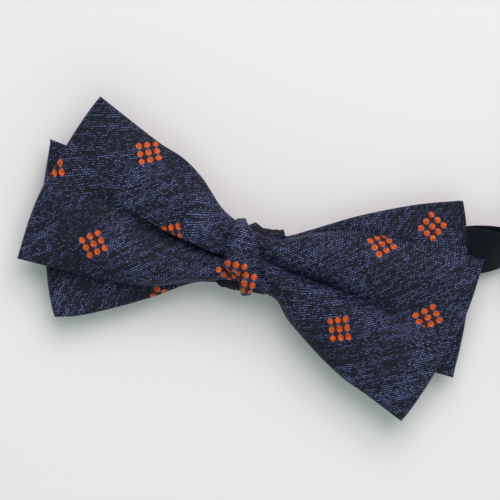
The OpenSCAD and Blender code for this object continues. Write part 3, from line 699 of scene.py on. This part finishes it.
def knotShape(station, flat, deep):
    down = station + knot["thick"] / 2
    reach = 2 * knotEdge
    d = min(reach, max(0.0, down))
    behind = min(down - reach, knotRun - down) if down > reach else max(0.0, -down)
    blend = smoothStep((behind - 12) / 4)
    width = curveThrough(knot["width"], d) * (1 - blend) + knot["backWidth"] * blend
    shift = curveThrough(knot["shift"], d) * (1 - blend)
    level = smoothStep(d / 3.5) * smoothStep((reach - d) / 3.5) * (1 - blend)
    crown = (knot["crown"] + knot["crownShare"] * width) * (1 - flat * flat) * level
    past = d - knot["foldAt"] + knot["foldSlant"] * flat * width / 2
    under = smoothStep(past / knot["foldWidth"] + 0.3)
    fold = knot["foldDepth"] * under * (1 - 0.55 * smoothStep(past / 4)) * level
    lip = knot["lip"] * math.exp(-(((past + knot["lipAt"]) / knot["lipWidth"]) ** 2)) * level
    bump = knot["bump"] * noise.noise(Vector((flat * 1.7, d / 2.6, 4.0))) * level
    return (flat * width / 2 + shift,
            deep * knot["thick"] / 2 + (crown + bump + lip - fold) * (1.0 if deep > 0 else 0.75))


def knotClothOrigin(station, flat):
    down = station + knot["thick"] / 2
    lower = down - knot["foldAt"] + knot["foldSlant"] * flat * 4 > 0
    x, y = knot["lowerCloth"] if lower else knot["upperCloth"]
    return x, y + knot["thick"] / 2


wrap = sweptStrip("knotWrap", knotPlaces, knot["backWidth"], knot["thick"], knotClothPaintedLight, "bow",
                  ["knot_wrap"], around=48, closed=True, shape=knotShape,
                  clothTurn=knot["clothTurn"], clothOrigin=knotClothOrigin)

# The back layer's gathered middle, crumpled where it shows past the knot
# and caught by two small hooks of cloth, each (height, place across, width)
gather = {"half": 8.3, "lean": 8.0, "low": 5.9, "high": 9.3, "width": 17.0, "thick": 0.7, "steps": 170,
          "bump": 0.75, "fineBump": 0.3, "hooks": [(0.8, 0.9, 0.08), (1.3, 0.03, 0.1)], "edgeDrop": 1.5}


def gatherShape(station, flat, deep):
    bump = noise.noise(Vector((flat * 3.1, station / 7, 7.0)))
    fine = noise.noise(Vector((flat * 8.0, station / 2.4, 2.0)))
    hook = sum(rise * math.exp(-((flat - at) / wide) ** 2) for rise, at, wide in gather["hooks"])
    calm = 1 - 0.6 * smoothStep((station - 8) / 4)
    return (flat * gather["width"] / 2,
            deep * gather["thick"] / 2 + (gather["bump"] * bump + gather["fineBump"] * fine) * calm
            - gather["edgeDrop"] * abs(flat) ** 7 + hook * smoothStep(1 - abs(station + 0.3) / 4))


crumpled = jacquardCloth("reverseJacquard", (5.0, 9.0), withMotif=False, dim=0.75)
middlePlaces = ringPlaces(gather["half"], gather["low"], gather["high"], gather["lean"], 0.0,
                          gather["steps"], 0.5, 0.35, 0.5)
middleRing = sweptStrip("gatheredMiddle", middlePlaces, gather["width"], gather["thick"], crumpled, "bow",
                        ["centre_whipping"], around=64, closed=True, shape=gatherShape,
                        clothTurn=45)
print("knot shaped")

# The neckband lies folded beside the bow; route points are (x, y) in mm, the stem's also its roll
band = {"width": 13.0, "thick": 1.3, "runOff": 1.15, "stemZ": 1.8, "loopZ": 8.5, "stemAngle": 14.0,
        "start": -42.0, "fold": 1.5, "farX": 132.0, "hookY": 42.0, "eyeY": 61.0, "runY": 28.5,
        "slideX": 101.0, "slideBarY": 31.5, "tailFlap": 5.0, "ripple": 0.16, "rib": 0.05, "ribPitch": 1.4,
        "liningThick": 0.35, "liningFrom": 3, "liningTo": -24}
stemRoute = [(18, 4.5, 0), (38, 10.8, 0), (50, 15.6, 3), (56, 18.2, 14), (60, 19.8, 30),
             (64, 21.4, 48), (69, 23.2, 67), (75, 25.2, 83), (80, 26.6, 90)]
runARoute = [(86, 27.4), (92, 28.5), (101, 28.5), (112, 28.5), (120, 28.5), (126.5, 31),
             (130.6, 35.5), (132, 39.5), (132, 42)]
runBRoute = [(84, 29.8), (90, 36), (98, 44.6), (107, 53.8), (116, 62.6), (122, 67.2), (127.6, 68.4),
             (131, 65.6), (132, 62.6), (132, 61)]
flapRoute = [(129, 61), (129.1, 63.4), (129, 65.6)]
tailRoute = [(129, 42), (128.4, 38.6), (125.8, 35.4), (121, 33), (112, 33), (101, 33)]


def splinePoints(points, steps, first=0):
    made = []
    for i in range(first, len(points) - 1):
        a, b = points[max(0, i - 1)], points[i]
        c, d = points[i + 1], points[min(len(points) - 1, i + 2)]
        for k in range(steps):
            t = k / steps
            made.append(0.5 * (2 * b + (c - a) * t + (2 * a - 5 * b + 4 * c - d) * t * t
                               + (3 * b - a - 3 * c + d) * t**3))
    return made + [points[-1].copy()]


def turnRound(centre, r, start, end, steps):
    angles = [math.radians(start + (end - start) * i / steps) for i in range(1, steps)]
    return [Vector((centre[0] + r * math.cos(a), centre[1] + r * math.sin(a), 0)) for a in angles]


def stemPlaces():
    direction = math.radians(band["stemAngle"])
    points = [Vector((s * math.cos(direction), s * math.sin(direction), 0))
              for s in (band["start"], -28, -14, 0)] + [Vector(p) for p in stemRoute]
    line = splinePoints(points, 6)
    places = []
    for i, p in enumerate(line):
        before, after = line[max(0, i - 1)], line[min(len(line) - 1, i + 1)]
        t = Vector((after.x - before.x, after.y - before.y, 0)).normalized()
        left, roll = Vector((-t.y, t.x, 0)), math.radians(p.z)
        w = left * math.cos(roll) + Vector((0, 0, math.sin(roll)))
        z = band["stemZ"] * math.cos(roll) + band["loopZ"] * math.sin(roll)
        places.append((Vector((p.x, p.y, z)), w, t.cross(w)))
    return places


def withDirections(points, sides):  # the outward direction follows from the route and the width
    places = []
    for i, p in enumerate(points):
        t = (points[min(len(points) - 1, i + 1)] - points[max(0, i - 1)]).normalized()
        run = (p - points[i - 1]).length + places[-1][3] if i else 0.0
        places.append((p, sides[i], t.cross(sides[i]).normalized(), run))
    return places


def bandPlaces():
    stem = stemPlaces()
    upright = Vector((0, 0, 1))
    runs = {}
    for side, route in ((1, runARoute), (-1, runBRoute)):
        edge = [place[0] + place[2] * side * band["runOff"] for place in stem]
        lead = [Vector((p.x, p.y, 0)) for p in (edge[-7], edge[-1])]
        loop = splinePoints(lead + [Vector((x, y, 0)) for x, y in route], 6, 1)
        runs[side] = (edge, [Vector((p.x, p.y, band["loopZ"])) for p in loop])
    foldCentre, foldSide, out = stem[0]
    back = (stem[1][0] - stem[0][0]).normalized()
    turn = [foldCentre
            + band["runOff"] * (math.sin(math.radians(a)) * out - math.cos(math.radians(a)) * back)
            for a in range(75, -90, -15)]
    eyeTurn = turnRound((band["farX"] - band["fold"], band["eyeY"]), band["fold"], 0, -180, 14)
    flap = splinePoints([Vector((x, y, 0)) for x, y in flapRoute], 4)
    end = [Vector((p.x, p.y, band["loopZ"])) for p in eyeTurn + flap]
    points = (runs[1][1][::-1][:-1] + runs[1][0][::-1] + turn + runs[-1][0] + runs[-1][1][1:] + end)
    stemSides = [place[1] for place in stem]
    sides = ([upright] * (len(runs[1][1]) - 1) + stemSides[::-1] + [foldSide] * len(turn) + stemSides
             + [upright] * (len(runs[-1][1]) - 1 + len(end)))
    return withDirections(points, sides)


def bandShape(width, thick, seed):
    def shape(run, flat, deep):
        ripple = noise.noise(Vector((run / 5, flat * 0.8, seed))) * band["ripple"]
        uneven = 0.5 + noise.noise(Vector((run / 9, 0, seed)))
        rib = band["rib"] * math.sin(run * 2 * math.pi / band["ribPitch"]) * uneven
        return flat * width / 2, deep * thick / 2 + ripple + rib
    return shape


neckband = sweptStrip("neckbandCloth", bandPlaces(), band["width"], band["thick"], bandClothPaintedShade, "neckband",
                      ["neckband_cloth"], around=36,
                      shape=bandShape(band["width"], band["thick"] - 0.2, 1.0))
liningPlaces = bandPlaces()[band["liningFrom"]:band["liningTo"]]
neckbandLining = sweptStrip("neckbandInterlining", liningPlaces, band["width"] - 2, band["liningThick"],
                            liningCloth, "neckband", ["neckband_interlining"], around=12,
                            shape=bandShape(band["width"] - 2, 0.3, 1.0))
bar = band["farX"] - band["fold"]
tailPoints = ([Vector((band["farX"], band["hookY"], 0))]
              + turnRound((bar, band["hookY"]), band["fold"], 0, 180, 14)
              + splinePoints([Vector((x, y, 0)) for x, y in tailRoute], 6)
              + turnRound((band["slideX"], band["slideBarY"]), band["fold"], 90, 270, 14)
              + [Vector((band["slideX"] + s, band["slideBarY"] - band["fold"], 0))
                 for s in (0, 1, 2, 3, 4, band["tailFlap"])])
tailPoints = [Vector((p.x, p.y, band["loopZ"])) for p in tailPoints]
tail = sweptStrip("strapTail", withDirections(tailPoints, [Vector((0, 0, 1))] * len(tailPoints)),
                  band["width"], band["thick"], bandClothPaintedShade, None, ["strap_tail"], around=36,
                  shape=bandShape(band["width"], band["thick"] - 0.2, 6.0))
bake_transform(tail)
print("neckband swept")


# How far the edges of the small pieces are rounded, in m
rounding = {"metal": 0.00022, "keeper": 0.00018, "label": 0.0001, "thread": 0.00004, "wadding": 0.0006}
squeeze = {"share": 0.62, "drop": 0.0008}  # the wadding, pressed by the wrap


def softened(node, material, width, segments=3):  # the CAD piece with its edges rounded over
    source = frame["nodes"][node]
    bm = bmesh.new()
    bm.from_mesh(source.data)
    bmesh.ops.remove_doubles(bm, verts=bm.verts, dist=0.00001)
    bmesh.ops.dissolve_limit(bm, angle_limit=math.radians(3), verts=bm.verts, edges=bm.edges)
    sharp = [e for e in bm.edges if e.is_manifold and e.calc_face_angle(0) > math.radians(35)]
    bmesh.ops.bevel(bm, geom=sharp, offset=width, offset_type="OFFSET", segments=segments, profile=0.5,
                    affect="EDGES", clamp_overlap=True, material=-1)
    bmesh.ops.triangulate(bm, faces=[f for f in bm.faces if len(f.verts) > 4])
    words = node.split("_")
    name = words[0] + "".join(w.capitalize() for w in words[1:]) + "Finished"
    return finishPiece(name, bm, material, source["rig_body"], [node])


for metalNode in ("adjuster_slide", "hook", "eye"):
    softened(metalNode, metalFinish, rounding["metal"])


def boxUv(piece):  # cloth measure in mm from the piece's own flat directions
    layer = piece.data.uv_layers.new(name="cloth") if not piece.data.uv_layers else piece.data.uv_layers[0]
    layer.name = "cloth"
    for polygon in piece.data.polygons:
        flat = abs(polygon.normal.z) > 0.6
        for i in polygon.loop_indices:
            p = piece.data.vertices[piece.data.loops[i].vertex_index].co / mm
            layer.data[i].uv = (p.x, p.y if flat else p.z + p.y)


keeper = softened("keeper_loop", bandClothPaintedShade, rounding["keeper"])
boxUv(keeper)
label = softened("size_label", labelFinish, rounding["label"], 2)
for threadNode in ("keeper_stitches", "knot_seam_stitches", "label_stitches", "tail_stitches",
                   "eye_fold_stitches"):
    softened(threadNode, threadFinish, rounding["thread"], 2)
wadding = softened("knot_wadding", liningCloth, rounding["wadding"])
centre = sum((v.co for v in wadding.data.vertices), Vector()) / len(wadding.data.vertices)
for vert in wadding.data.vertices:
    vert.co = centre + (vert.co - centre) * squeeze["share"] - Vector((0, 0, squeeze["drop"]))
print("small pieces finished")
